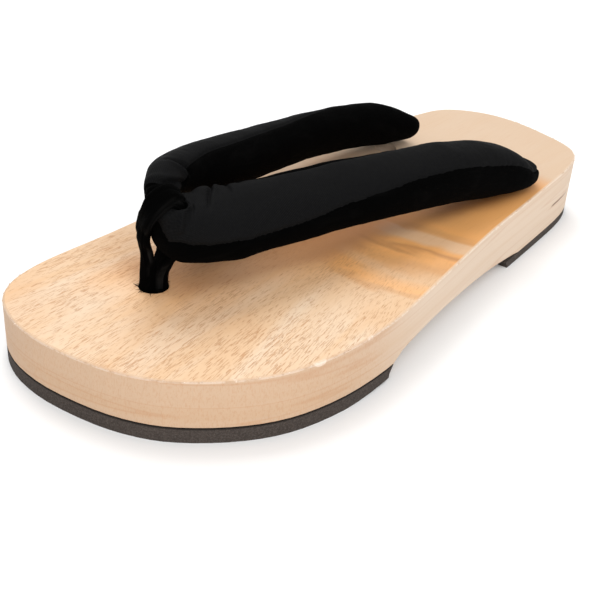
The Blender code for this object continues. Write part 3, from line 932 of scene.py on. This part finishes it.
@dataclass
class StrapPair:
    """The padded strap pair: one stuffed tube with a satin face and a velvet back."""

    base: Base
    half_width: float = 13 * MM
    half_thick: float = 10 * MM
    lift: float = 30 * MM
    fullness: float = 2.3
    stations: int = 640
    back_steps: int = 36
    face_steps: int = 56
    velvet_zone: tuple = (0.4565, 0.486)
    seam_depth: float = 0.55 * MM
    seam_breadth: float = 0.7 * MM
    # along, across, lift, width, thick, face: as in the CAD's table, with rounder ends. The table
    # began as a scratch program's fit to the straps' edges in the photo and was rounded.
    rows: tuple = (
        (-0.283, -0.222, 0.17, 0.28, 0.22, 60), (-0.276, -0.230, 0.19, 0.50, 0.38, 60),
        (-0.259, -0.238, 0.25, 0.70, 0.53, 60), (-0.230, -0.262, 0.32, 0.82, 0.71, 58),
        (-0.187, -0.285, 0.41, 0.86, 0.79, 54), (-0.130, -0.303, 0.48, 0.89, 0.79, 50),
        (-0.046, -0.311, 0.56, 0.91, 0.79, 48), (0.045, -0.300, 0.64, 0.91, 0.84, 50),
        (0.158, -0.270, 0.78, 0.87, 0.87, 57), (0.215, -0.250, 0.89, 0.76, 0.78, 61),
        (0.247, -0.231, 0.96, 0.62, 0.69, 64), (0.277, -0.203, 1.03, 0.50, 0.60, 66),
        (0.304, -0.162, 1.07, 0.39, 0.57, 68), (0.328, -0.121, 1.00, 0.30, 0.61, 70),
        (0.336, -0.076, 0.83, 0.35, 0.75, 70), (0.318, -0.037, 0.70, 0.61, 0.88, 68),
        (0.273, -0.009, 0.68, 0.94, 0.82, 66), (0.242, 0.014, 0.69, 0.95, 0.82, 65),
        (0.207, 0.041, 0.69, 0.91, 0.80, 64), (0.166, 0.070, 0.68, 0.92, 0.79, 64),
        (0.121, 0.094, 0.67, 0.92, 0.79, 65), (0.061, 0.138, 0.65, 0.93, 0.84, 70),
        (-0.005, 0.180, 0.61, 0.91, 0.93, 78), (-0.078, 0.216, 0.55, 0.91, 1.00, 84),
        (-0.164, 0.252, 0.41, 0.87, 0.99, 88), (-0.216, 0.276, 0.29, 0.86, 0.80, 90),
        (-0.242, 0.282, 0.20, 0.80, 0.54, 90), (-0.268, 0.281, 0.18, 0.66, 0.45, 90),
        (-0.283, 0.278, 0.18, 0.34, 0.24, 90),
    )
    # (share, angle of the outer seam, angle of the inner seam), in degrees around the section,
    # worked out from points read off the photo
    seams: tuple = (
        (0.00, 60, 120), (0.12, 40, 130), (0.18, 34, 127), (0.20, 34, 128), (0.215, 34, 138),
        (0.23, 34, 146), (0.25, 34, 154), (0.31, 30, 156), (0.33, 26, 158), (0.354, 20, 163),
        (0.385, 4, 174), (0.398, -4, 184), (0.408, -6, 208), (0.425, -8, 226), (0.456, -8, 244),
        (0.470, -6, 244), (0.484, 46, 170), (0.490, 40, 158), (0.498, 26, 156), (0.506, 8, 154),
        (0.516, -1, 154), (0.522, 9, 154), (0.5375, 13, 156), (0.551, 21, 156), (0.569, 31, 156),
        (0.60, 29, 152), (0.63, 29, 146),
        (0.656, 32, 140), (0.679, 38, 136), (0.705, 44, 134), (0.728, 46, 134), (0.745, 48, 134),
        (0.78, 47, 134), (0.80, 42, 136), (0.815, 39, 138), (0.8325, 34, 140), (0.851, 29, 144),
        (0.90, 29, 146), (0.95, 28, 150), (1.00, 20, 160),
    )
    creases: tuple = (
        # The dark fold right across the front joint, with the roll above it and small ones below
        Crease(1.3, 0.65, ((0.462, 30), (0.460, 67), (0.459, 106), (0.454, 146),
            (0.440, 180), (0.410, 219))),
        Crease(-0.65, 1.1, ((0.452, 60), (0.4525, 87), (0.4487, 143), (0.4275, 188))),
        Crease(-0.55, 0.7, ((0.466, 50), (0.464, 100), (0.458, 150))),
        Crease(0.6, 0.6, ((0.470, 40), (0.469, 80), (0.466, 120))),
        # The far strap's own fold, which ends the lobe on the fork side
        Crease(1.3, 0.8, ((0.413, 112), (0.410, 138), (0.403, 160), (0.394, 176), (0.388, 196))),
        Crease(-0.7, 0.8, ((0.420, 122), (0.419, 145), (0.413, 172), (0.402, 196), (0.398, 208))),
        # The near strap's front: a rolled lobe edge, two tucks and the soft lumps between them
        Crease(-1.7, 0.7, ((0.5525, 154), (0.531, 148), (0.5075, 89), (0.511, 60), (0.5175, 34))),
        Crease(0.6, 1.1, ((0.546, 128), (0.524, 96), (0.521, 70))),
        Crease(1.3, 0.5, ((0.583, 158), (0.580, 152), (0.570, 130), (0.565, 120), (0.5537, 93))),
        Crease(-0.9, 1.1, ((0.590, 156), (0.586, 146), (0.574, 124))),
        Crease(0.8, 0.6, ((0.603, 152), (0.5988, 142), (0.5938, 111))),
        Crease(-1.9, 2.6, ((0.574, 164), (0.566, 152), (0.556, 136))),
        Crease(-1.6, 2.2, ((0.556, 168), (0.550, 156), (0.540, 140))),
        Crease(-1.8, 2.2, ((0.550, 185), (0.542, 170), (0.530, 156))),
        Crease(0.35, 1.0, ((0.618, 148), (0.612, 130))),
        Crease(0.35, 0.5, ((0.519, 60), (0.521, 30))),
        Crease(0.3, 0.5, ((0.524, 66), (0.526, 28))),
    )
    cloth_grain: float = 0.22 * MM
    grain_scale: float = 110.0
    grain_seed: int = 3
    # The share of the length over which the folds fade out towards each end
    end_fade: float = 0.03
    # How far the satin's outer edge is torn to and fro, in degrees around the section
    ragged: float = 1.5
    ragged_seed: int = 11

    def row_values(self, shares: np.ndarray) -> tuple[np.ndarray, ...]:
        """Return the centre, the two section directions and the half sizes at places along the straps.

        Args:
            shares: Places from 0 to 1 along the straps.

        Returns:
            Centres, sideways and normal directions, half widths and half thicknesses.
        """
        values = smooth_curve(self.rows, shares)

        def centres(table: np.ndarray) -> np.ndarray:
            """Return the centre points of rows of the table."""
            x, y = table[:, 0] * self.base.length, table[:, 1] * self.base.breadth
            return np.stack([x, y, self.base.footbed_height(x) + table[:, 2] * self.lift], 1)

        step = 0.002
        ahead = centres(smooth_curve(self.rows, np.clip(shares + step, 0, 1)))
        behind = centres(smooth_curve(self.rows, np.clip(shares - step, 0, 1)))
        forwards = ahead - behind
        forwards /= np.linalg.norm(forwards, axis=1)[:, None]
        outwards = np.stack([forwards[:, 1], -forwards[:, 0], np.zeros(len(shares))], 1)
        outwards /= np.linalg.norm(outwards, axis=1)[:, None]
        upwards = np.cross(outwards, forwards)
        face = np.radians(values[:, 5])[:, None]
        normal = outwards * np.cos(face) + upwards * np.sin(face)
        sideways = outwards * np.sin(face) - upwards * np.cos(face)
        width, thick = values[:, 3] * self.half_width, values[:, 4] * self.half_thick
        return centres(values), sideways, normal, width, thick

    def surface(self, shares: np.ndarray, angles: np.ndarray, grow: float = 0.0) -> np.ndarray:
        """Return points of the stuffed tube's surface.

        Args:
            shares: Places along the straps, one for each ring.
            angles: Angles around the section in degrees, one row for each ring or one for all.
            grow: A distance by which the section is grown.

        Returns:
            An array of rings of points, in metres.
        """
        centre, sideways, normal, width, thick = self.row_values(shares)
        turn = np.radians(np.broadcast_to(angles, (len(shares), np.shape(angles)[-1])))
        power = 2 / self.fullness
        across = np.sign(np.cos(turn)) * np.abs(np.cos(turn)) ** power
        above = np.sign(np.sin(turn)) * np.abs(np.sin(turn)) ** power
        wide = (width + grow)[:, None, None] * across[:, :, None]
        high = (thick + grow)[:, None, None] * above[:, :, None]
        return centre[:, None, :] + sideways[:, None, :] * wide + normal[:, None, :] * high

    def unrolled(self, rings: np.ndarray, angles: np.ndarray) -> tuple[np.ndarray, np.ndarray]:
        """Lay the tube's cloth out flat.

        Args:
            rings: The tube's points.
            angles: Their angles in degrees, one row for each ring.

        Returns:
            For each point, its distance along the straps and its distance around the section from
            the middle of the face, in metres.
        """
        along = run_length(rings.mean(axis=1))
        steps = np.linalg.norm(np.diff(rings, axis=1), axis=2)
        around = np.concatenate([np.zeros((len(rings), 1)), np.cumsum(steps, axis=1)], axis=1)
        face = np.array([np.interp(90.0, row, way) for row, way in zip(angles, around)])
        return np.repeat(along[:, None], rings.shape[1], axis=1), around - face[:, None]

    def folded(self, shares: np.ndarray, angles: np.ndarray, rings: np.ndarray) -> np.ndarray:
        """Return how far each point is pressed in or raised.

        Args:
            shares: Places along the straps.
            angles: Angles around the section in degrees, one row for each ring.
            rings: The plain tube's points.

        Returns:
            The outward distance for each point, in metres.
        """
        along, around = self.unrolled(rings, angles)
        move = np.zeros(along.shape)

        def flat_place(share: float, angle: float) -> tuple[float, float]:
            """Return a (share, angle) place on the unrolled cloth."""
            row = int(np.argmin(np.abs(shares - share)))
            return along[row, 0], float(np.interp(angle, angles[row], around[row]))

        for crease in self.creases:
            line = np.array([flat_place(*place) for place in crease.line])
            nearest = np.full(along.shape, 1.0)
            taper = np.zeros(along.shape)
            total = run_length(line)
            for index, (start, end) in enumerate(zip(line[:-1], line[1:])):
                way = end - start
                long = max(float(way @ way), 1e-12)
                t = np.clip(((along - start[0]) * way[0] + (around - start[1]) * way[1]) / long, 0, 1)
                gap = np.hypot(along - start[0] - t * way[0], around - start[1] - t * way[1])
                run = (total[index] + t * math.sqrt(long)) / total[-1]
                # The nearest stretch of the fold counts, and the fold fades towards both its ends
                closer = gap < nearest
                nearest = np.where(closer, gap, nearest)
                taper = np.where(closer, np.sin(np.pi * np.clip(0.08 + 0.84 * run, 0, 1)) ** 0.6, taper)
            move -= crease.depth * MM * taper * np.exp(-((nearest / (crease.breadth * MM)) ** 2))

        _, _, _, width, _ = self.row_values(shares)
        depth = self.seam_depth * np.clip(width / self.half_width / 0.6, 0, 1) * ~self.is_velvet(shares)
        for column in (self.back_steps, self.back_steps + self.face_steps):
            gap = around - around[:, column : column + 1]
            move -= depth[:, None] * np.exp(-((gap / self.seam_breadth) ** 2))
        return move

    def is_velvet(self, shares: np.ndarray) -> np.ndarray:
        """Tell which places along the straps are velvet all round, under the toe loop."""
        return (shares > self.velvet_zone[0]) & (shares < self.velvet_zone[1])

    def ring_angles(self, shares: np.ndarray) -> np.ndarray:
        """Return the angles around each ring, which put a point right on each seam.

        Args:
            shares: Places along the straps.

        Returns:
            One row of angles in degrees for each ring, from the bottom of the section round to it.
        """
        ragged = np.random.default_rng(self.ragged_seed).uniform(-self.ragged, self.ragged, len(shares))
        outer = (np.interp(shares, *np.array(self.seams).T[[0, 1]]) + ragged)[:, None]
        inner = np.interp(shares, *np.array(self.seams).T[[0, 2]])[:, None]
        under = np.linspace(0, 1, self.back_steps, endpoint=False)[None, :]
        across = np.linspace(0, 1, self.face_steps, endpoint=False)[None, :]
        back = np.linspace(0, 1, self.back_steps + 1)[None, :]
        parts = (
            -90.0 + (outer + 90.0) * under,
            outer + (inner - outer) * across,
            inner + (270.0 - inner) * back,
        )
        return np.concatenate(parts, axis=1)

    def build(self, satin: bpy.types.Material, velvet: bpy.types.Material) -> bpy.types.Object:
        """Make the stuffed tube with its folds, closed at both ends.

        Args:
            satin: The finish of the face.
            velvet: The finish of the back.

        Returns:
            The strap pair.
        """
        shares = np.linspace(0.0, 1.0, self.stations)
        angles = self.ring_angles(shares)
        plain = self.surface(shares, angles)
        move = self.folded(shares, angles, plain)
        seed_set(self.grain_seed)
        for i in range(len(shares)):
            for j in range(angles.shape[1] - 1):
                spot = Vector(plain[i, j]) * self.grain_scale
                move[i, j] += fractal(spot, 1.0, 2.0, 3) * self.cloth_grain
        move[:, -1] = move[:, 0]
        along_way = np.gradient(plain, axis=0)
        around_way = np.gradient(plain, axis=1)
        outward = np.cross(around_way, along_way)
        centre = plain.mean(axis=1, keepdims=True)
        facing = np.sign(np.sum(outward * (plain - centre), axis=2, keepdims=True))
        outward = outward * facing
        outward /= np.maximum(np.linalg.norm(outward, axis=2, keepdims=True), 1e-12)
        outward[:, -1] = outward[:, 0]
        fade = np.clip(np.minimum(shares, 1 - shares) / self.end_fade, 0, 1)[:, None, None]
        points = plain + outward * move[:, :, None] * fade
        along, around = self.unrolled(plain, angles)

        shape, rings = tube(points[:, :-1], along[:, 0], around)
        velvet_ring = self.is_velvet(shares)
        count = len(rings[0])
        for index, face in enumerate(shape.faces):
            i, j = divmod(index, count)
            on_face = self.back_steps <= j < self.back_steps + self.face_steps
            face.material_index = 0 if on_face and not velvet_ring[i] else 1
        for ring, order in ((rings[0], 1), (rings[-1], -1)):
            tip = shape.verts.new(sum((corner.co for corner in ring), Vector()) / count)
            for j in range(count):
                face = shape.faces.new((tip, ring[(j + 1) % count], ring[j])[::order])
                face.smooth = True
                face.material_index = 1
        return finished("strap_pair", shape, satin, velvet)

    def dress(self) -> None:
        """Make the straps with their finishes and let them stand for the CAD's straps."""
        satin = TwillSatin().build()
        velvet = PileVelvet().build("strap_velvet")
        straps = self.build(satin, velvet)
        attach(straps, BODY)
        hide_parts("straps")


# The toe loop


@dataclass
class ToeLoop:
    """The velvet loop: a band over the front of the straps whose two ends go down as a post."""

    base: Base
    straps: StrapPair
    share: float = 0.482
    band_width: float = 7.6 * MM
    band_thick: float = 2.8 * MM
    fold_depth: float = 0.55 * MM
    fold_scale: tuple = (70.0, 620.0, 1.5)
    # Each limb from under the base upwards: x, y, height over the footbed, half width and half
    # thickness, in millimetres
    toe_limb: tuple = (
        (86.3, -15.6, -14.0, 2.3, 2.3), (86.3, -15.6, 0.0, 2.4, 2.3), (86.2, -15.5, 6.0, 2.4, 2.2),
        (86.3, -15.1, 11.0, 2.4, 2.0), (87.4, -14.9, 15.5, 2.6, 1.9), (90.0, -12.8, 20.0, 3.5, 1.6),
    )
    fork_limb: tuple = (
        (82.1, -13.9, -14.0, 2.3, 2.3), (82.1, -13.9, 0.0, 2.4, 2.3), (82.1, -13.6, 6.0, 2.8, 2.3),
        (81.6, -12.4, 10.5, 3.9, 2.2), (80.2, -11.3, 14.5, 4.8, 1.9),
    )
    # Where the band crosses the straps, from the toe side over to the fork: share, angle around the
    # section, and how far the band's middle stands off the cloth, in millimetres
    over: tuple = (
        (0.492, -8, 1.7), (0.490, 20, 1.5), (0.486, 60, 1.4), (0.480, 100, 1.4), (0.474, 140, 1.5),
        (0.471, 176, 1.6), (0.471, 200, 1.8),
    )
    path_steps: int = 260
    ring_steps: int = 64
    # The middle of the post's foot, its reach along x and y, and how high its tufts start
    foot: tuple = (84.2 * MM, -14.8 * MM)
    foot_reach: tuple = (4.6 * MM, 4.4 * MM)
    foot_lift: float = 0.3 * MM

    def path(self) -> tuple[np.ndarray, np.ndarray, np.ndarray]:
        """Return the loop's way: up from the hole, over the straps and down again.

        Returns:
            The points, and the half width and half thickness of the band at each.
        """
        half = self.band_thick / 2
        over = []
        for share, angle, off in self.over:
            ring = self.straps.surface(np.array([share]), np.array([[angle]]), off * MM)
            over.append((*ring[0, 0], self.band_width / 2, half))

        def limb(rows: tuple) -> list:
            """Return a limb's rows in metres, with their real heights."""
            table = np.array(rows) * MM
            table[:, 2] += self.base.footbed_height(table[:, 0])
            return table.tolist()

        line = np.array(limb(self.toe_limb) + over + limb(self.fork_limb)[::-1])
        dense = smooth_curve(line, np.linspace(0, 1, 1200))
        spans = run_length(dense[:, :3])
        even = np.linspace(0, spans[-1], self.path_steps)
        rows = np.stack([np.interp(even, spans, dense[:, k]) for k in range(5)], 1)
        for _ in range(10):
            rows[1:-1] = 0.25 * rows[:-2] + 0.5 * rows[1:-1] + 0.25 * rows[2:]
        return rows[:, :3], rows[:, 3], rows[:, 4]

    def build(self, velvet: bpy.types.Material) -> bpy.types.Object:
        """Sweep the band's section along its way.

        Args:
            velvet: The band's finish.

        Returns:
            The toe loop.
        """
        points, wide, thick = self.path()
        along = np.gradient(points, axis=0)
        along /= np.linalg.norm(along, axis=1)[:, None]
        centre, _, _, _, _ = self.straps.row_values(np.array([self.share - 0.01, self.share + 0.01]))
        across = centre[1] - centre[0]
        across /= np.linalg.norm(across)
        travel = run_length(points)
        turns = 2 * math.pi * np.arange(self.ring_steps) / self.ring_steps
        rings = np.zeros((len(points), self.ring_steps, 3))
        for i, point in enumerate(points):
            side = across - along[i] * float(across @ along[i])
            side /= np.linalg.norm(side)
            out = np.cross(along[i], side)
            for j, turn in enumerate(turns):
                c, s = math.cos(turn), math.sin(turn)
                spot = point + side * c * wide[i] + out * math.copysign(abs(s) ** 0.8, s) * thick[i]
                # Soft folds that run along the band, stronger where it is drawn together
                run = Vector((travel[i], c * wide[i], s)) * Vector(self.fold_scale)
                rings[i, j] = spot + (side * c + out * s) * fractal(run, 1.0, 2.0, 3) * self.fold_depth
        around = np.append(turns, turns[-1])[None, :] * 0.5 * (wide + thick)[:, None]
        shape, corners = tube(rings, travel, around)
        shape.faces.new(corners[0])
        shape.faces.new(corners[-1])
        return finished("toe_band", shape, velvet)

    def foot_line(self) -> np.ndarray:
        """Return a line of points around the foot of the post, right over the footbed."""
        turn = np.linspace(0.0, 2 * math.pi, 60)
        x = self.foot[0] + self.foot_reach[0] * np.cos(turn)
        y = self.foot[1] + self.foot_reach[1] * np.sin(turn)
        return np.stack([x, y, self.base.footbed_height(x) + self.foot_lift], 1)

    def dress(self) -> None:
        """Make the loop and let it stand for the CAD's loop."""
        velvet = PileVelvet(brushed=(0.0085, 0.0082, 0.0079, 1.0)).build("loop_velvet")
        band = self.build(velvet)
        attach(band, BODY)
        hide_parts("toe_loop")
        frayed = Fibres("frayed_foot", 2.6 * MM, 0.16 * MM, 0.9, 5).build(self.foot_line(), velvet)
        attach(frayed, BODY)


# The stage


@dataclass(frozen=True)
class Lamp:
    """One large soft lamp."""

    name: str
    place: tuple
    aim: tuple
    size: float
    watts: float

    def build(self) -> None:
        """Hang the lamp and turn it to its aim."""
        light = bpy.data.lights.new(self.name, "AREA")
        light.shape = "SQUARE"
        light.size = self.size
        light.energy = self.watts
        lamp = linked(self.name, light)
        lamp.location = self.place
        way = Vector(self.aim) - Vector(self.place)
        lamp.rotation_euler = way.to_track_quat("-Z", "Y").to_euler()


@dataclass
class Stage:
    """The plain floor, the soft light and the camera."""

    floor_reach: float = 6.0
    sky: float = 0.66
    eye: tuple = (0.27355, 0.18155, 0.17489)
    yaw: float = 3.7871
    pitch: float = -0.5404
    roll: float = 0.0654
    focal_px: float = 1002.3
    centre_px: tuple = (290.73, 317.20)
    picture_px: float = 600.0
    sensor_mm: float = 36.0
    lamps: tuple = (
        Lamp("sky_panel", (-0.45, -0.75, 1.5), (0.0, 0.0, 0.0), 1.0, 15.5),
        Lamp("front_panel", (0.75, 0.95, 0.95), (0.0, 0.0, 0.0), 1.4, 17.0),
    )

    def build_floor(self) -> None:
        """Lay the pale floor."""
        reach = self.floor_reach
        mesh = bpy.data.meshes.new("floor")
        corners = [(-reach, -reach, 0.0), (reach, -reach, 0.0), (reach, reach, 0.0), (-reach, reach, 0.0)]
        mesh.from_pydata(corners, [], [(0, 1, 2, 3)])
        mesh.materials.append(PaleFloor().build())
        linked("floor", mesh)

    def build_light(self) -> None:
        """Set the even white sky and hang the lamps."""
        world = bpy.data.worlds.new("white_room")
        world.use_nodes = True
        back = world.node_tree.nodes["Background"]
        back.inputs["Color"].default_value = (1.0, 1.0, 1.0, 1.0)
        back.inputs["Strength"].default_value = self.sky
        bpy.context.scene.world = world
        bpy.context.scene.view_settings.view_transform = "Standard"
        for lamp in self.lamps:
            lamp.build()

    def build_camera(self) -> None:
        """Stand the camera where the picture was taken from."""
        level_part = math.cos(self.pitch)
        forward = np.array((
            level_part * math.cos(self.yaw), level_part * math.sin(self.yaw), math.sin(self.pitch),
        ))
        level = np.cross(forward, (0.0, 0.0, 1.0))
        level /= np.linalg.norm(level)
        upright = np.cross(level, forward)
        c, s = math.cos(self.roll), math.sin(self.roll)
        right = c * level + s * upright
        up = c * upright - s * level
        data = bpy.data.cameras.new("picture_camera")
        data.sensor_width = self.sensor_mm
        data.lens = self.focal_px * self.sensor_mm / self.picture_px
        data.shift_x = (self.picture_px / 2 - self.centre_px[0]) / self.picture_px
        data.shift_y = (self.centre_px[1] - self.picture_px / 2) / self.picture_px
        data.clip_start = 0.01
        camera = linked("picture_camera", data)
        turn = Matrix((right, up, -forward)).transposed()
        camera.matrix_world = Matrix.Translation(self.eye) @ turn.to_4x4()
        bpy.context.scene.camera = camera

    def build(self) -> None:
        """Set up floor, light and camera."""
        self.build_floor()
        self.build_light()
        self.build_camera()


def main() -> None:
    """Build the stage and dress the sandal, piece by piece."""
    logging.basicConfig(level=logging.INFO, format="%(name)s: %(message)s")
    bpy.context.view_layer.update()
    Stage().build()
    LOG.info("stage is set")
    base = Base()
    base.dress()
    LOG.info("base and treads are dressed")
    straps = StrapPair(base)
    straps.dress()
    LOG.info("straps are made")
    loop = ToeLoop(base, straps)
    loop.dress()
    LOG.info("toe loop is made")


if __name__ == "__main__":
    main()
